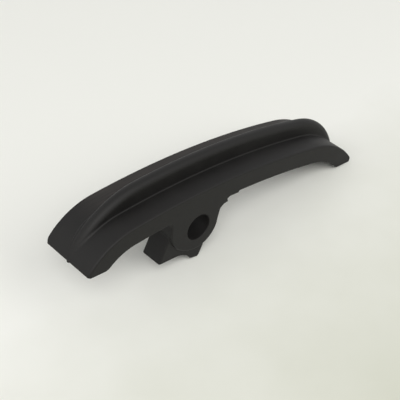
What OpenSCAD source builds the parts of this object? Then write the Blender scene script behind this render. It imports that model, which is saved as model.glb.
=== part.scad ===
// Timing chain guide: a curved shoe plate with a middle ridge and a pivot lug, moulded in one piece.
// Millimetres, +Z up, bore axis along Y, origin half way through the bore, drawn as the guide rests on a table.

/* [Shoe plate] */
// width of the plate across the chain
shoe_w = 18; // [14:0.5:26]
// thickness of the plate
shoe_t = 5.6; // [4.6:0.1:7]
// radius of the long upper arc
crown_r = 242; // [180:1:320]
// chord of the long upper arc between the two bends
crown_span = 70; // [56:0.5:84]
// radius of the bend at the free end
tail_bend_r = 19.8; // [17:0.1:24]
// radius of the bend at the lip end
lip_bend_r = 30.2; // [25:0.1:33]
// height of the free end's flat face over the bore centre
tail_face_z = -0.4; // [-1.5:0.1:1.5]
// height of the lip's flat face over the bore centre
lip_face_z = -2; // [-3:0.1:0]
// rounding of the free end's edge
tail_tip_r = 0.6; // [0.3:0.1:1]
// rounding between the free end's flat face and the underside
tail_heel_r = 3; // [1:0.1:4]
// rounding of the lip's edge
lip_tip_r = 1; // [0.6:0.1:1.8]
// rounding of the free end's corners, seen from above
tail_corner_r = 1.2; // [0.6:0.1:2]
// rounding of the lip's corners, seen from above
lip_corner_r = 0.6; // [0.4:0.1:2]

/* [Middle ridge] */
// height of the ridge over the plate where it is highest, above the bore
ridge_h = 5.4; // [4.6:0.1:6]
// width of the ridge, whose crest is rounded across
ridge_w = 3.8; // [3.2:0.1:4.4]
// radius of the crest along the guide
ridge_r = 212; // [200:1:225]
// start of the crest's fall to the free end, behind the bore centre
ridge_tail_x = 15.8; // [13:0.2:18]
// start of the crest's fall to the lip, ahead of the bore centre
ridge_lip_x = 47.2; // [45:0.2:48]

/* [Pivot lug] */
// diameter of the bore
bore_d = 8; // [6:0.1:9]
// radius of the boss round the bore
boss_r = 7.5; // [6.6:0.1:8.2]
// bore centre behind the middle of the long arc
bore_back = 11.4; // [6:0.2:16]
// bore centre under the top of the plate
bore_drop = 12.1; // [11:0.1:14]
// thickness of the foot and tongue
lug_w = 7; // [5:0.1:8]
// height of the boss's pad over the foot, flush with the plate's side
pad_h = 1.2; // [0.6:0.1:2]
// radius of the boss's rounded side toward the foot
pad_r = 10; // [9:0.1:11]
// radius of the hollow between pad and plate
pad_fillet_r = 2; // [1:0.1:2.2]
// lower edge of the foot's end face behind the bore centre
foot_x = 12.2; // [11:0.1:14]
// lean of the foot's end face
foot_deg = 20; // [12:1:24]
// foot's underside below the bore centre
foot_z = 8.5; // [7.8:0.1:9]
// rounding of the foot's upright edges
foot_r = 0.9; // [0.6:0.1:2]
// radius of the arch between foot and tongue
arch_r = 8.5; // [7.5:0.1:9.5]
// start of the arch behind the bore centre
arch_x = 6.4; // [5.8:0.1:7.2]
// tongue's tip below the bore centre
tongue_z = 12; // [11:0.1:13]
// far side of the tongue's tip ahead of the bore centre
tongue_x = 2.9; // [2:0.1:3.4]

/* [Hidden] */
$fn = 96;
half_w = shoe_w / 2;
crown_half = asin(crown_span / 2 / crown_r);
crown_x = bore_back;
crown_z = bore_drop - crown_r;
tail_cx = crown_x - (crown_r - tail_bend_r) * sin(crown_half);
tail_cz = crown_z + (crown_r - tail_bend_r) * cos(crown_half);
lip_cx = crown_x + (crown_r - lip_bend_r) * sin(crown_half);
lip_cz = crown_z + (crown_r - lip_bend_r) * cos(crown_half);
tail_tip_z = tail_face_z + tail_tip_r;
tail_tip_x = tail_cx - sqrt(pow(tail_bend_r - tail_tip_r, 2) - pow(tail_tip_z - tail_cz, 2));
lip_tip_z = lip_face_z + lip_tip_r;
lip_tip_x = lip_cx + sqrt(pow(lip_bend_r - lip_tip_r, 2) - pow(lip_tip_z - lip_cz, 2));
tail_deg = acos((tail_face_z - 3 - tail_cz) / tail_bend_r);
lip_deg = acos((lip_face_z - 3 - lip_cz) / lip_bend_r);
joint_lift = 0.004;
heel_r_in = tail_bend_r - shoe_t + tail_heel_r;
heel_z = tail_face_z + tail_heel_r;
heel_x = tail_cx - sqrt(pow(heel_r_in, 2) - pow(heel_z - tail_cz, 2));
crest_round = ridge_w / 2 + 0.05;
crest_lift = 0.06;
top_deg = asin(bore_back / crown_r);
crest_x = crown_x - (crown_r + ridge_h - ridge_r) * sin(top_deg);
crest_z = crown_z + (crown_r + ridge_h - ridge_r) * cos(top_deg);
tail_fall = fall_arc(-ridge_tail_x, tail_tip_x - tail_tip_r, tail_tip_z);
lip_fall = fall_arc(ridge_lip_x, lip_tip_x + lip_tip_r * 0.75, lip_tip_z + lip_tip_r * 0.65);
lug_front = -half_w + pad_h;
pad_root_z = crown_z + sqrt(pow(crown_r - shoe_t, 2) - pow(crown_x + pad_r, 2));
nub_r = 0.55;
root_z = bore_drop - shoe_t;
lug_top = root_z + 2;
tongue_r = 0.4;
rest_dx = lip_tip_x - (tongue_x - tongue_r);
rest_dz = lip_tip_z - (tongue_r - tongue_z);
rest_deg = atan2(rest_dz, rest_dx) - asin((lip_tip_r - tongue_r) / norm([rest_dx, rest_dz]));

// centre and radius of the arc that leaves the crest level at x and runs to the point end_x, end_z
function fall_arc(x, end_x, end_z) =
    let (
        z = crest_z + sqrt(pow(ridge_r, 2) - pow(x - crest_x, 2)),
        nx = (x - crest_x) / ridge_r,
        nz = (z - crest_z) / ridge_r,
        r = -(pow(end_x - x, 2) + pow(end_z - z, 2)) / (2 * ((end_x - x) * nx + (end_z - z) * nz))
    )
    [x - r * nx, z - r * nz, r];

// region under a crown arc that runs on into the two end bends, side view;
// tail and lip bend round their own centres, each from its upright joint line outward
module under_arc(r, joint_l, tail, joint_r, lip) {
    intersection() {
        translate([crown_x, crown_z])
            circle(r, $fn = 720);
        union() {
            translate([tail[0], tail[1] + joint_lift])
                circle(tail[2], $fn = 180);
            translate([joint_l, -60])
                square([200, 120]);
        }
        union() {
            translate([lip[0], lip[1] + joint_lift])
                circle(lip[2], $fn = 180);
            translate([joint_r - 200, -60])
                square([200, 120]);
        }
    }
}

// region under the plate's upper face or, lowered by d, under a face inside it
module under_plate(d) {
    under_arc(
        crown_r - d,
        crown_x - (crown_r - d) * sin(crown_half),
        [tail_cx, tail_cz, tail_bend_r - d],
        crown_x + (crown_r - d) * sin(crown_half),
        [lip_cx, lip_cz, lip_bend_r - d]
    );
}

// flat end faces and their rounded edges
module end_cuts() {
    translate([-80, tail_face_z - 60])
        square([80 + tail_cx, 60]);
    translate([lip_cx, lip_face_z - 60])
        square([80, 60]);
    tip_cut(tail_tip_x, tail_tip_z, tail_tip_r, tail_cx, tail_cz, -1);
    tip_cut(lip_tip_x, lip_tip_z, lip_tip_r, lip_cx, lip_cz, 1);
    heel_cut();
}

// material beyond the rounding between the free end's face and the underside
module heel_cut() {
    ux = (tail_cx - heel_x) / heel_r_in;
    uz = (tail_cz - heel_z) / heel_r_in;
    difference() {
        polygon([
            [heel_x, heel_z],
            [heel_x, heel_z - tail_heel_r - 2],
            [heel_x + (tail_heel_r + 2) * ux, heel_z + (tail_heel_r + 2) * uz]
        ]);
        translate([heel_x, heel_z])
            circle(tail_heel_r, $fn = 96);
    }
}

module plate() {
    side(-half_w, shoe_w)
        difference() {
            under_plate(0);
            under_plate(shoe_t);
            end_cuts();
        }
}

// everything under a crest that is rounded across and runs along an arc of radius r round x, z
module under_crest(x, z, r, depth, sweep) {
    translate([x, 0, z])
        rotate([90, 0, 0])
            rotate([0, 0, 90 - sweep / 2])
                rotate_extrude(angle = sweep, $fn = 360)
                    union() {
                        translate([r - crest_round, 0])
                            circle(crest_round);
                        translate([r - depth, -ridge_w])
                            square([depth - crest_round, 2 * ridge_w]);
                    }
}

module ridge() {
    intersection() {
        side(-ridge_w / 2, ridge_w)
            difference() {
                translate([-60, -30])
                    square([140, 60]);
                under_plate(shoe_t / 2);
                end_cuts();
            }
        under_crest(crest_x, crest_z, ridge_r, 30, 50);
        union() {
            under_crest(tail_fall[0], tail_fall[1] + crest_lift, tail_fall[2], 14, 220);
            translate([-ridge_tail_x, -10, -60])
                cube([200, 20, 120]);
        }
        union() {
            under_crest(lip_fall[0], lip_fall[1] + crest_lift, lip_fall[2], 14, 220);
            translate([ridge_lip_x - 200, -10, -60])
                cube([200, 20, 120]);
        }
    }
}

// side view drawn in the X-Z plane, given depth toward +Y from y0
module side(y0, depth) {
    translate([0, y0 + depth, 0])
        rotate([90, 0, 0])
            linear_extrude(depth)
                children();
}

// material beyond the rounded edge of an end face
module tip_cut(x, z, r, cx, cz, s) {
    reach = norm([x - cx, z - cz]);
    ux = (x - cx) / reach;
    uz = (z - cz) / reach;
    difference() {
        polygon([
            [x, z],
            [x, z - r - 4],
            [x + s * 9, z - r - 4],
            [x + s * 9, z + 9 * uz],
            [x + 9 * ux, z + 9 * uz]
        ]);
        translate([x, z])
            circle(r, $fn = 48);
    }
}

// material beyond the rounded corners of one end, seen from above
module corner_cut(x, s, r) {
    for (k = [-1, 1])
        translate([x, k * half_w, -20])
            linear_extrude(50)
                difference() {
                    translate([s > 0 ? -r : -4, k > 0 ? -r : -4])
                        square(r + 4);
                    translate([-s * r, -k * r])
                        circle(r, $fn = 48);
                }
}

// foot, arch and tongue, side view
module lug_outline() {
    difference() {
        polygon([
            [(lug_top + foot_z) * tan(foot_deg) - foot_x, lug_top],
            [-foot_x, -foot_z],
            [-arch_x, -foot_z],
            [-arch_x, -tongue_z],
            [tongue_x - tongue_r, -tongue_z],
            [tongue_x, tongue_r - tongue_z],
            [tongue_x + 1.2, -foot_z],
            [tongue_x + 1.2, 0],
            [0, lug_top]
        ]);
        translate([-arch_x, -foot_z - arch_r])
            circle(arch_r);
    }
    polygon([
        [tongue_x - 4.1, 2 - tongue_z],
        [tongue_x - 3.1, 0.5 - tongue_z],
        [tongue_x - tongue_r, -tongue_z],
        [tongue_x - 0.5, 3 - tongue_z]
    ]);
}

// boss with its ragged root under the plate, side view
module boss_outline() {
    circle(boss_r);
    polygon([
        [-boss_r, 0],
        [boss_r, 0],
        [boss_r + 0.7, root_z - 4.2],
        [boss_r + 1.1, root_z - 3.6],
        [boss_r + 2.4, root_z - 2.7],
        [boss_r + 2.9, root_z - 2],
        [boss_r + 3.2, root_z - 1.5],
        [boss_r + 4.1, root_z - 1.1],
        [boss_r + 6.8, root_z - 0.7],
        [boss_r + 7.2, root_z - 0.7],
        [boss_r + 8, root_z - 0.3],
        [boss_r + 8.3, lug_top],
        [-boss_r, lug_top]
    ]);
}

// boss with its rounded side toward the foot, side view
module pad_outline() {
    boss_outline();
    intersection() {
        translate([0, pad_r - boss_r])
            circle(pad_r);
        translate([-pad_r - 1, -boss_r - 1])
            square([pad_r + 1, pad_r + 1]);
    }
    translate([-pad_r, pad_r - boss_r])
        square([pad_r, lug_top - pad_r + boss_r]);
    translate([-pad_r - pad_fillet_r, pad_root_z - pad_fillet_r])
        difference() {
            square([pad_fillet_r + 1, pad_fillet_r + 1]);
            circle(pad_fillet_r, $fn = 48);
        }
}

module lug() {
    difference() {
        side(lug_front, lug_w)
            lug_outline();
        for (k = [0, 1])
            translate([-foot_x, lug_front + k * lug_w, -foot_z])
                rotate([0, foot_deg, 0])
                    mirror([0, k, 0])
                        translate([0, 0, -2])
                            linear_extrude(foot_z + 7)
                                difference() {
                                    translate([-1, -1])
                                        square(foot_r + 1);
                                    translate([foot_r, foot_r])
                                        circle(foot_r, $fn = 48);
                                }
    }
    side(-half_w, pad_h + lug_w)
        pad_outline();
}

module shoe() {
    difference() {
        union() {
            plate();
            ridge();
        }
        corner_cut(tail_tip_x - tail_tip_r, -1, tail_corner_r);
        corner_cut(lip_tip_x + lip_tip_r, 1, lip_corner_r);
    }
    translate([tail_tip_x - tail_tip_r + nub_r / 4, -0.7, tail_tip_z])
        sphere(nub_r, $fn = 32);
}

module bore() {
    translate([0, lug_front + lug_w + 1, 0])
        rotate([90, 0, 0])
            cylinder(h = lug_w + pad_h + 2, d = bore_d);
}

// the whole moulding, turned about the bore to rest on the tongue and the lip
module chain_guide() {
    color([0.11, 0.11, 0.1])
        rotate([0, rest_deg, 0])
            translate([0, half_w - (pad_h + lug_w) / 2, 0])
                difference() {
                    union() {
                        shoe();
                        lug();
                    }
                    bore();
                }
}

chain_guide();
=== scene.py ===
import math

import bmesh
import bpy
from mathutils import Matrix, Vector


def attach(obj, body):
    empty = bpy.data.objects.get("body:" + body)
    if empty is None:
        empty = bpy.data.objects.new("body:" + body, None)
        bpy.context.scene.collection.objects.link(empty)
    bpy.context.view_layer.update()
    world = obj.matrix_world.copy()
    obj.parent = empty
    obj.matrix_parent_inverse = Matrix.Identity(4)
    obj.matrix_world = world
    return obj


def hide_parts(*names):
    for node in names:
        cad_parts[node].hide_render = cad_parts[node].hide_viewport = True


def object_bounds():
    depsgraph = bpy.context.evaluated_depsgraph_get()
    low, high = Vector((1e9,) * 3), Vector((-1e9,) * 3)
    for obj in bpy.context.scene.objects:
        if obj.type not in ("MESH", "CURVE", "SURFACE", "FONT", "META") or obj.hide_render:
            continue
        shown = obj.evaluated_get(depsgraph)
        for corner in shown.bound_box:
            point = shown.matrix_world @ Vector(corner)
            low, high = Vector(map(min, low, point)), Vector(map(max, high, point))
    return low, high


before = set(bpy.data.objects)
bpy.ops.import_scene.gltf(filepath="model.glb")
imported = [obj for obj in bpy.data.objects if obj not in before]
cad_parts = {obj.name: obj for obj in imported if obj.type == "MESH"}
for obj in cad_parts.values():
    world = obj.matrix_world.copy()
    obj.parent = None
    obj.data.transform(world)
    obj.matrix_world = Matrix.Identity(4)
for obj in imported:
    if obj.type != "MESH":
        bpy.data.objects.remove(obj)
cad_low, cad_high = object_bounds()


# Shoe plate with its middle ridge. The long curved plate that the chain runs over is moulded
# in black nylon together with the ridge and the lug, so all of it is one skin in the end.
# Its section is swept along three arcs: the long crown and the two bends at the ends.
shoe_width = 18.0
shoe_thick = 5.6
crown_radius = 242.0
crown_chord = 70.0
tail_radius = 19.8
lip_radius = 30.2
lip_sweep = math.radians(56.0)
tail_sweep = math.radians(66.0)
bore_back = 11.4
bore_drop = 12.1
crown_half = math.asin(crown_chord / 2 / crown_radius)
crown_centre = Vector((bore_back, 0.0, bore_drop - crown_radius))
tail_joint = Vector((-math.sin(crown_half), 0.0, math.cos(crown_half)))
lip_joint = Vector((math.sin(crown_half), 0.0, math.cos(crown_half)))
tail_centre = crown_centre + (crown_radius - tail_radius) * tail_joint
lip_centre = crown_centre + (crown_radius - lip_radius) * lip_joint

ridge_height = 5.4
ridge_crest_half = 1.85
ridge_root_half = 1.95
near_edge_round = 0.55
far_edge_round = 0.3
under_edge_round = 0.2
crest_round = 1.8
root_hollow = 0.25
far_root_hollow = 1.2

# Each corner of the section: its place across, its rise over the running face, its rounding.
section_corners = [
    (-shoe_width / 2, -shoe_thick, under_edge_round),
    (shoe_width / 2, -shoe_thick, under_edge_round),
    (shoe_width / 2, 0.0, far_edge_round),
    (ridge_root_half, 0.0, far_root_hollow),
    (ridge_crest_half, ridge_height, crest_round),
    (-ridge_crest_half, ridge_height, crest_round),
    (-ridge_root_half, 0.0, root_hollow),
    (-shoe_width / 2, 0.0, near_edge_round),
]
shoe = bmesh.new()
corner_verts = [
    shoe.verts.new(crown_centre + (crown_radius + rise) * tail_joint + Vector((0.0, across, 0.0)))
    for across, rise, _ in section_corners
]
shoe.faces.new(corner_verts)
for vert, (_, _, rounding) in list(zip(corner_verts, section_corners)):
    bmesh.ops.bevel(
        shoe, geom=[vert], offset=rounding, offset_type="OFFSET", segments=7, profile=0.5,
        affect="VERTICES", material=-1,
    )
bmesh.ops.delete(shoe, geom=shoe.faces[:], context="FACES_ONLY")
tail_ring = shoe.verts[:] + shoe.edges[:]

turn_axis = (0.0, 1.0, 0.0)
crown_sweep = bmesh.ops.spin(
    shoe, geom=tail_ring, cent=crown_centre, axis=turn_axis, angle=2 * crown_half, steps=56,
)
bmesh.ops.spin(
    shoe, geom=crown_sweep["geom_last"], cent=lip_centre, axis=turn_axis, angle=lip_sweep, steps=48,
)
bmesh.ops.spin(
    shoe, geom=tail_ring, cent=tail_centre, axis=turn_axis, angle=-tail_sweep, steps=48,
)
bmesh.ops.remove_doubles(shoe, verts=shoe.verts[:], dist=0.001)

# The ridge is highest above the bore. Its crest follows a rounder arc than the plate and falls
# in two tighter arcs to the tips, sinking into the plate there with its rounded top unchanged.
tail_face = -0.4
tail_tip_round = 0.6
tail_tip_z = tail_face + tail_tip_round
tail_tip_reach = math.sqrt((tail_radius - tail_tip_round) ** 2 - (tail_tip_z - tail_centre.z) ** 2)
tail_tip = Vector((tail_centre.x - tail_tip_reach, 0.0, tail_tip_z))
lip_face = -2.0
lip_tip_round = 1.0
lip_tip_z = lip_face + lip_tip_round
lip_tip_reach = math.sqrt((lip_radius - lip_tip_round) ** 2 - (lip_tip_z - lip_centre.z) ** 2)
lip_tip = Vector((lip_centre.x + lip_tip_reach, 0.0, lip_tip_z))
crest_radius = 212.0
tail_fall_x = -15.8
lip_fall_x = 47.2
lip_crest_way = Vector((0.75, 0.0, 0.65))
least_crest = 0.03
root_step = 0.002
root_tuck = 0.99
across_margin = 0.1
rise_margin = 0.05
top_turn = -math.asin(bore_back / crown_radius)
crest_centre = crown_centre + (crown_radius + ridge_height - crest_radius) * Vector(
    (math.sin(top_turn), 0.0, math.cos(top_turn))
)


def falling_crest(x, end):
    start = Vector((x, 0.0, crest_centre.z + math.sqrt(crest_radius ** 2 - (x - crest_centre.x) ** 2)))
    inward = (crest_centre - start).normalized()
    chord = end - start
    radius = chord.length_squared / (2 * chord.dot(inward))
    return start + radius * inward, radius


def reach_along(start, outward, arc):
    gap = start - arc[0]
    along = outward.dot(gap)
    return -along + math.sqrt(max(along * along - gap.length_squared + arc[1] ** 2, 0.0))


tail_crest = falling_crest(tail_fall_x, tail_tip - Vector((tail_tip_round, 0.0, 0.0)))
lip_crest = falling_crest(lip_fall_x, lip_tip + lip_tip_round * lip_crest_way)
for vert in shoe.verts:
    across = abs(vert.co.y)
    hollow = far_root_hollow if vert.co.y > 0 else root_hollow
    if across > ridge_root_half + hollow + across_margin:
        continue
    flat = Vector((vert.co.x, 0.0, vert.co.z))
    turn = math.atan2(flat.x - crown_centre.x, flat.z - crown_centre.z)
    if turn < -crown_half - 1e-6:
        centre, radius = tail_centre, tail_radius
    elif turn > crown_half + 1e-6:
        centre, radius = lip_centre, lip_radius
    else:
        centre, radius = crown_centre, crown_radius
    outward = (flat - centre).normalized()
    rise = (flat - centre).length - radius
    if rise < -0.01:
        continue
    reach = reach_along(centre, outward, (crest_centre, crest_radius))
    top_x = centre.x + reach * outward.x
    if top_x < tail_fall_x:
        reach = reach_along(centre, outward, tail_crest)
    elif top_x > lip_fall_x:
        reach = reach_along(centre, outward, lip_crest)
    crest_rise = max(reach - radius, least_crest)
    share = min(crest_rise / crest_round, 1.0)
    narrowed = crest_round * (1.0 - math.sqrt(1.0 - (1.0 - share) ** 2))
    if rise < hollow + rise_margin:
        rise *= share
        across -= narrowed
    else:
        root_top = hollow * share + root_step
        sunk = ridge_height - crest_rise
        rise -= sunk
        if rise < root_top:
            depth = (root_top - rise) / (root_top + crest_round - crest_rise)
            level = max(crest_round - crest_rise + root_top, 0.0)
            chord = math.sqrt(max(crest_round ** 2 - level ** 2, 0.0))
            across = chord + depth * (root_tuck * (ridge_root_half - narrowed) - chord)
            rise = root_top - root_step / 2 * depth
    lowered = centre + outward * (radius + rise)
    vert.co = (lowered.x, math.copysign(across, vert.co.y), lowered.z)


# Both ends are trimmed to a flat face with a rounded edge, and to rounded corners seen from above.
def add_arc(mesh, start, centre, turn, steps, depth):
    first = mesh.verts.new((start[0], depth, start[1]))
    old = set(mesh.verts)
    bmesh.ops.spin(
        mesh, geom=[first], cent=(centre[0], depth, centre[1]), axis=turn_axis, angle=turn, steps=steps,
    )
    return [first] + [v for v in mesh.verts if v not in old]


def close_outline(mesh, runs):
    loop = [vert for run in runs for vert in run]
    for one, two in zip(loop, loop[1:] + loop[:1]):
        if not mesh.edges.get((one, two)):
            mesh.edges.new((one, two))
    return loop


def thicken(mesh, faces, move):
    raised = bmesh.ops.extrude_face_region(mesh, geom=faces, use_keep_orig=True)
    moved = [g for g in raised["geom"] if isinstance(g, bmesh.types.BMVert)]
    bmesh.ops.translate(mesh, verts=moved, vec=move)
    bmesh.ops.recalc_face_normals(mesh, faces=mesh.faces[:])


def stand_up(name, mesh):
    data = bpy.data.meshes.new(name)
    mesh.to_mesh(data)
    mesh.free()
    thing = bpy.data.objects.new(name, data)
    bpy.context.scene.collection.objects.link(thing)
    return thing


bmesh.ops.holes_fill(shoe, edges=[e for e in shoe.edges if e.is_boundary], sides=0)
bmesh.ops.recalc_face_normals(shoe, faces=shoe.faces[:])

heel_round = 3.0
heel_reach = tail_radius - shoe_thick + heel_round
heel = Vector((0.0, 0.0, tail_face + heel_round))
heel.x = tail_centre.x - math.sqrt(heel_reach ** 2 - (heel.z - tail_centre.z) ** 2)
heel_way = (tail_centre - heel).normalized()

# The outline that trims the ends starts well inside the bends and runs far out past the tips.
heel_lead = 4.0
trim_middle = 10.0
trim_half = 18.0
trim_reach = 40.0

side_shape = bmesh.new()
side_depth = -shoe_width
side_runs = []
for side, tip, tip_round, bend_centre in (
    (-1, tail_tip, tail_tip_round, tail_centre),
    (1, lip_tip, lip_tip_round, lip_centre),
):
    outward = (tip - bend_centre).normalized()
    fan = math.pi - abs(math.atan2(outward.x, outward.z))
    inner = [side_shape.verts.new((side * trim_half + trim_middle, side_depth, tip.z - tip_round))]
    if side < 0:
        lead = heel + heel_lead * heel_way
        inner.append(side_shape.verts.new((lead.x, side_depth, lead.z)))
        inner += add_arc(
            side_shape, (heel.x + heel_round * heel_way.x, heel.z + heel_round * heel_way.z),
            (heel.x, heel.z), math.atan2(heel_way.x, -heel_way.z), 10, side_depth,
        )
    arc = add_arc(side_shape, (tip.x, tip.z - tip_round), (tip.x, tip.z), -side * fan, 8, side_depth)
    far = tip + outward * trim_reach
    outer = side_shape.verts.new((far.x, side_depth, far.z))
    run = inner + arc + [outer]
    side_runs.append(run[::side])
loop = close_outline(side_shape, [side_runs[1], side_runs[0]])
thicken(side_shape, [side_shape.faces.new(loop)], (0.0, 2 * shoe_width, 0.0))

skin_inset = 0.005
plan_half = shoe_width / 2 - skin_inset
plan_low = -30.0
plan_height = 60.0
tail_corner_round = 1.2
lip_corner_round = 0.6
plan_shape = bmesh.new()
plan_corners = [
    plan_shape.verts.new((x, y, plan_low))
    for x, y in (
        (tail_tip.x - tail_tip_round, -plan_half), (tail_tip.x - tail_tip_round, plan_half),
        (lip_tip.x + lip_tip_round, plan_half), (lip_tip.x + lip_tip_round, -plan_half),
    )
]
plan_shape.faces.new(plan_corners)
for corners, rounding in (
    (plan_corners[:2], tail_corner_round), (plan_corners[2:], lip_corner_round),
):
    bmesh.ops.bevel(
        plan_shape, geom=corners, offset=rounding, offset_type="OFFSET", segments=7, profile=0.5,
        affect="VERTICES", material=-1,
    )
thicken(plan_shape, plan_shape.faces[:], (0.0, 0.0, plan_height))

shoe_block = stand_up("shoe_block", shoe)
trimmers = [stand_up("side_shape", side_shape), stand_up("plan_shape", plan_shape)]
for trimmer in trimmers:
    trim = shoe_block.modifiers.new(trimmer.name, "BOOLEAN")
    trim.operation = "INTERSECT"
    trim.solver = "EXACT"
    trim.object = trimmer
shoe = bmesh.new()
shoe.from_object(shoe_block, bpy.context.evaluated_depsgraph_get())
for helper in [shoe_block] + trimmers:
    bpy.data.objects.remove(helper)

# A small nib of plastic stands on the tail end, as the feed of a mould leaves it.
nib_radius = 0.55
nib_side = -0.7
nib_place = tail_tip + Vector((nib_radius / 4 - tail_tip_round, nib_side, 0.0))
bmesh.ops.create_uvsphere(
    shoe, u_segments=16, v_segments=10, radius=nib_radius, matrix=Matrix.Translation(nib_place),
)


# Pivot lug under the plate. It carries the bore for the guide's pivot bolt, with a leaning foot
# behind it, an arch, and a thin tongue that reaches lowest. It is part of the same moulding.
bore_radius = 4.0
boss_radius = 7.5
lug_root = bore_drop - shoe_thick
lug_sink = 2.0
lug_top = lug_root + lug_sink
lug_front = -7.8
lug_width = 7.0
foot_back = -12.2
foot_under = -8.5
foot_lean = math.radians(20.0)
arch_radius = 8.5
arch_start = -6.4
arch_stop = -0.95
tongue_tip = -12.0
tongue_side = 4.1
tongue_outline = [
    (-0.2, tongue_tip + 0.5), (2.5, tongue_tip), (2.9, tongue_tip + 0.4), (tongue_side, foot_under),
]
foot_edge_round = 0.5
hair = 1e-4
quarter_turn = math.pi / 2

# The root is torn at the lip side: its points go ahead of the boss and up from the plate's underside.
torn_root = [
    (boss_radius + ahead, lug_root + up)
    for ahead, up in (
        (0.35, -3.9), (0.55, -3.3), (1.6, -2.5), (3.05, -2.2), (2.6, -0.95),
        (3.5, -0.45), (5.9, -0.5), (6.8, -0.45), (7.1, 0.3), (7.4, 2.0),
    )
]


def bored_block(mesh, depth, thick):
    bmesh.ops.create_circle(
        mesh, cap_ends=False, segments=72, radius=bore_radius,
        matrix=Matrix.Translation((0.0, depth, 0.0)) @ Matrix.Rotation(quarter_turn, 4, "X"),
    )
    filled = bmesh.ops.triangle_fill(mesh, use_beauty=True, edges=mesh.edges[:])
    faces = [g for g in filled["geom"] if isinstance(g, bmesh.types.BMFace)]
    thicken(mesh, faces, (0.0, thick, 0.0))


lug = bmesh.new()
arch_end = math.asin((arch_stop - arch_start) / arch_radius)
boss_start = math.acos(tongue_side / boss_radius)
close_outline(lug, [
    [lug.verts.new((foot_back + (lug_top - foot_under) * math.tan(foot_lean), lug_front, lug_top))],
    [lug.verts.new((foot_back, lug_front, foot_under))],
    add_arc(lug, (arch_start, foot_under), (arch_start, foot_under - arch_radius), arch_end, 14, lug_front),
    [lug.verts.new((x, lug_front, z)) for x, z in tongue_outline],
    add_arc(
        lug, (tongue_side, -boss_radius * math.sin(boss_start)), (0.0, 0.0), -boss_start, 18, lug_front,
    ),
    [lug.verts.new((x, lug_front, z)) for x, z in torn_root],
])
bored_block(lug, lug_front, lug_width)
foot_edges = [
    e for e in lug.edges
    if abs(e.verts[0].co.y - e.verts[1].co.y) < hair
    and min(v.co.x for v in e.verts) < foot_back + hair
    and max(v.co.z for v in e.verts) > lug_top - hair
]
bmesh.ops.bevel(
    lug, geom=foot_edges, offset=foot_edge_round, offset_type="OFFSET", segments=5, profile=0.5,
    affect="EDGES", material=-1,
)

# Boss round the bore, with a pad face level with the plate's near side.
pad_front = -plan_half
pad_thick = lug_front + lug_width - pad_front
pad_radius = 10.0
pad_hollow = 2.0
pad_edge_round = 0.5
pad_rise = pad_radius - boss_radius
boss_from = 0.15
edge_top = lug_root - 1.5
bore_rim = bore_radius + 1.0
under_z = crown_centre.z + math.sqrt((crown_radius - shoe_thick) ** 2 - (crown_centre.x + pad_radius) ** 2)
pad = bmesh.new()
close_outline(pad, [
    [pad.verts.new((-pad_radius - pad_hollow, pad_front, lug_top))],
    add_arc(
        pad, (-pad_radius - pad_hollow, under_z), (-pad_radius - pad_hollow, under_z - pad_hollow),
        quarter_turn, 10, pad_front,
    ),
    add_arc(pad, (-pad_radius, pad_rise), (0.0, pad_rise), -quarter_turn, 24, pad_front),
    add_arc(
        pad, (boss_from, -math.sqrt(boss_radius ** 2 - boss_from ** 2)), (0.0, 0.0),
        -math.acos(boss_from / boss_radius), 24, pad_front,
    ),
    [pad.verts.new((x, pad_front, z)) for x, z in torn_root],
])
bored_block(pad, pad_front, pad_thick)
pad_edges = [
    e for e in pad.edges
    if max(v.co.y for v in e.verts) < pad_front + hair
    and max(v.co.z for v in e.verts) < edge_top
    and abs(e.calc_face_angle(0.0) - quarter_turn) < 0.01
    and min(Vector((v.co.x, v.co.z)).length for v in e.verts) > bore_rim
]
bmesh.ops.bevel(
    pad, geom=pad_edges, offset=pad_edge_round, offset_type="OFFSET", segments=4, profile=0.5,
    affect="EDGES", material=-1,
)


# One skin over the whole moulding. The pieces above are laid in place, turned as the guide rests
# on its tongue and lip, and fused; the mould's own small roundings come with the fusing.
rest_turn = math.radians(9.240)
mid_plane = 4.9
placing = (
    Matrix.Scale(0.001, 4)
    @ Matrix.Rotation(rest_turn, 4, "Y")
    @ Matrix.Translation((0.0, mid_plane, 0.0))
)
moulding_mesh = bpy.data.meshes.new("guide_moulding")
whole = bmesh.new()
for part in (shoe, lug, pad):
    bmesh.ops.triangulate(part, faces=part.faces[:])
    bmesh.ops.transform(part, matrix=placing, verts=part.verts[:])
    part.to_mesh(moulding_mesh)
    whole.from_mesh(moulding_mesh)
    part.free()
whole.to_mesh(moulding_mesh)
whole.free()
moulding = bpy.data.objects.new("guide_moulding", moulding_mesh)
bpy.context.scene.collection.objects.link(moulding)
skin = moulding.modifiers.new("fused_skin", "REMESH")
skin.mode = "VOXEL"
skin.voxel_size = 0.00015
skin.use_smooth_shade = True
soften = moulding.modifiers.new("mould_rounding", "SMOOTH")
soften.factor = 0.5
soften.iterations = 2
thin_out = moulding.modifiers.new("lighter_skin", "DECIMATE")
thin_out.ratio = 0.26


def start_material(name):
    material = bpy.data.materials.new(name)
    material.use_nodes = True
    tree = material.node_tree
    place = tree.nodes.new("ShaderNodeTexCoord").outputs["Object"]
    return material, tree, tree.nodes["Principled BSDF"], place


def speckle(tree, place, scale, detail, rough):
    noise = tree.nodes.new("ShaderNodeTexNoise")
    noise.inputs["Scale"].default_value = scale
    noise.inputs["Detail"].default_value = detail
    noise.inputs["Roughness"].default_value = rough
    tree.links.new(place, noise.inputs["Vector"])
    return noise.outputs["Fac"]


def map_range(tree, value, source, target, way="LINEAR"):
    ramp = tree.nodes.new("ShaderNodeMapRange")
    ramp.interpolation_type = way
    ramp.inputs["From Min"].default_value, ramp.inputs["From Max"].default_value = source
    ramp.inputs["To Min"].default_value, ramp.inputs["To Max"].default_value = target
    tree.links.new(value, ramp.inputs["Value"])
    return ramp.outputs["Result"]


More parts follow.
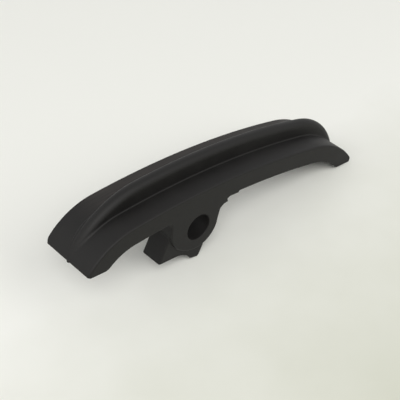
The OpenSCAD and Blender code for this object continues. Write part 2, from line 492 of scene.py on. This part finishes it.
def two_tone(tree, value, low_at, low_colour, high_at, high_colour):
    ramp = tree.nodes.new("ShaderNodeValToRGB")
    low, high = ramp.color_ramp.elements
    low.position = low_at
    low.color = (*low_colour, 1.0)
    high.position = high_at
    high.color = (*high_colour, 1.0)
    tree.links.new(value, ramp.inputs["Fac"])
    return ramp.outputs["Color"]


def times(tree, one, two):
    product = tree.nodes.new("ShaderNodeMath")
    product.operation = "MULTIPLY"
    tree.links.new(one, product.inputs[0])
    tree.links.new(two, product.inputs[1])
    return product.outputs[0]


nylon, tree, shader, place = start_material("black_nylon")
shader.inputs["IOR"].default_value = 1.53
shader.inputs["Specular IOR Level"].default_value = 0.22
noise_span = (0.3, 0.7)
cloud = speckle(tree, place, 140.0, 4.0, 0.6)
grain = speckle(tree, place, 4200.0, 3.0, 0.55)
black = two_tone(tree, cloud, 0.3, (0.0048, 0.0045, 0.0043), 0.72, (0.0084, 0.0079, 0.0075))

# The strip beyond the ridge is painted lighter and warmer in streaks along the chain's way: partly wear of
# the running strip, partly a painted sheen for the grazing light that strip catches.
wear_and_sheen_side = (0.0069, 0.0079)
wear_and_sheen_tail = (-0.030, -0.018)
axes = tree.nodes.new("ShaderNodeSeparateXYZ")
tree.links.new(place, axes.inputs["Vector"])
drawn_out = tree.nodes.new("ShaderNodeMapping")
drawn_out.inputs["Scale"].default_value = (1.0, 24.0, 1.0)
tree.links.new(place, drawn_out.inputs["Vector"])
streak = speckle(tree, drawn_out.outputs["Vector"], 70.0, 3.0, 0.6)
wear_and_sheen_place = times(
    tree,
    map_range(tree, axes.outputs["Y"], wear_and_sheen_side, (0.0, 1.0), "SMOOTHSTEP"),
    map_range(tree, axes.outputs["X"], wear_and_sheen_tail, (0.0, 1.0), "SMOOTHSTEP"),
)
wear_and_sheen_share = times(tree, wear_and_sheen_place, map_range(tree, streak, noise_span, (0.4, 1.0)))
# Painted sheen mixed with wear: a lighter, warmer base colour laid over the far strip.
wear_and_sheen = tree.nodes.new("ShaderNodeMix")
wear_and_sheen.data_type = "RGBA"
tree.links.new(wear_and_sheen_share, wear_and_sheen.inputs["Factor"])
tree.links.new(black, wear_and_sheen.inputs["A"])
wear_and_sheen.inputs["B"].default_value = (0.027, 0.0235, 0.0215, 1.0)
tree.links.new(wear_and_sheen.outputs["Result"], shader.inputs["Base Color"])
tree.links.new(map_range(tree, cloud, noise_span, (0.51, 0.61)), shader.inputs["Roughness"])
bump = tree.nodes.new("ShaderNodeBump")
bump.inputs["Strength"].default_value = 0.25
bump.inputs["Distance"].default_value = 0.00006
tree.links.new(grain, bump.inputs["Height"])
tree.links.new(bump.outputs["Normal"], shader.inputs["Normal"])
moulding_mesh.materials.append(nylon)

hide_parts("chain_guide")
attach(moulding, "root")


# Table top that the guide lies on: a plain pale board, level with the tongue's tip. Its colour is painted
# darker and warmer toward the near right corner, a painted shade for the light falling off there, over a
# faint random mottle. It is stage, not part of the guide.
table_half = 1.5
table_mesh = bpy.data.meshes.new("table_top")
board = bmesh.new()
bmesh.ops.create_grid(
    board, x_segments=1, y_segments=1, size=table_half,
    matrix=Matrix.Translation((0.0, 0.0, cad_low[2])),
)
board.to_mesh(table_mesh)
board.free()
table = bpy.data.objects.new("table_top", table_mesh)
bpy.context.scene.collection.objects.link(table)
board_material, tree, shader, place = start_material("pale_board")
shader.inputs["Roughness"].default_value = 0.6
axes = tree.nodes.new("ShaderNodeSeparateXYZ")
tree.links.new(place, axes.inputs["Vector"])
# Painted shade: the board darkens toward the near right, mixed with a faint random mottle.
mottle_and_painted_shade = tree.nodes.new("ShaderNodeMath")
mottle_and_painted_shade.operation = "MULTIPLY_ADD"
tree.links.new(speckle(tree, place, 45.0, 3.0, 0.5), mottle_and_painted_shade.inputs[0])
mottle_and_painted_shade.inputs[1].default_value = 0.15
tree.links.new(map_range(tree, axes.outputs["Y"], (-0.14, 0.09), (0.0, 1.0)), mottle_and_painted_shade.inputs[2])
pale = two_tone(tree, mottle_and_painted_shade.outputs[0], 0.33, (0.63, 0.645, 0.555), 0.74, (0.885, 0.895, 0.86))
tree.links.new(pale, shader.inputs["Base Color"])
table_mesh.materials.append(board_material)


# Soft studio light: a softbox at each end of the table and one above the camera, with even
# light from all round. The two at the ends leave the faint shadows left and right of the guide.
def add_softbox(name, spot, size, power, colour):
    lamp_data = bpy.data.lights.new(name, "AREA")
    lamp_data.shape = "SQUARE"
    lamp_data.size = size
    lamp_data.energy = power
    lamp_data.color = colour
    lamp = bpy.data.objects.new(name, lamp_data)
    lamp.location = spot
    lamp.rotation_euler = (guide_middle - lamp.location).to_track_quat("-Z", "Y").to_euler()
    bpy.context.scene.collection.objects.link(lamp)


guide_middle = Vector((0.01, 0.0, 0.0))
add_softbox("left_softbox", (-1.20, 0.32, 0.95), 0.95, 5.0, (1.0, 0.99, 0.96))
add_softbox("right_softbox", (0.40, -1.17, 1.00), 1.1, 8.5, (1.0, 0.99, 0.96))
add_softbox("camera_softbox", (-0.66, -0.74, 1.23), 0.8, 12.5, (1.0, 0.99, 0.97))

world = bpy.data.worlds.new("studio")
bpy.context.scene.world = world
world.use_nodes = True
tree = world.node_tree
tree.nodes.clear()
rays = tree.nodes.new("ShaderNodeLightPath")
seen = rays.outputs["Is Camera Ray"]
for ray in ("Is Transmission Ray", "Is Glossy Ray"):
    either = tree.nodes.new("ShaderNodeMath")
    either.operation = "MAXIMUM"
    tree.links.new(seen, either.inputs[0])
    tree.links.new(rays.outputs[ray], either.inputs[1])
    seen = either.outputs[0]
ambient = tree.nodes.new("ShaderNodeBackground")
ambient.inputs["Color"].default_value = (1.0, 0.99, 0.97, 1.0)
ambient.inputs["Strength"].default_value = 0.34
backdrop = tree.nodes.new("ShaderNodeBackground")
backdrop.inputs["Color"].default_value = (1.0, 1.0, 1.0, 1.0)
backdrop.inputs["Strength"].default_value = 1.0
choose = tree.nodes.new("ShaderNodeMixShader")
tree.links.new(seen, choose.inputs["Fac"])
tree.links.new(ambient.outputs[0], choose.inputs[1])
tree.links.new(backdrop.outputs[0], choose.inputs[2])
out = tree.nodes.new("ShaderNodeOutputWorld")
tree.links.new(choose.outputs[0], out.inputs["Surface"])
bpy.context.scene.view_settings.view_transform = "Standard"


# Camera at the photograph's place: left of the guide's near side, looking down. Its place and
# turn were fitted to the guide's outline in the photograph, with a long lens.
camera_data = bpy.data.cameras.new("camera")
camera_data.sensor_width = 36.0
camera_data.lens = 90.0
camera = bpy.data.objects.new("camera", camera_data)
camera.location = (-0.13288, -0.14940, 0.18611)
camera.rotation_euler = (math.radians(48.178), 0.0, math.radians(-42.556))
bpy.context.scene.collection.objects.link(camera)
bpy.context.scene.camera = camera
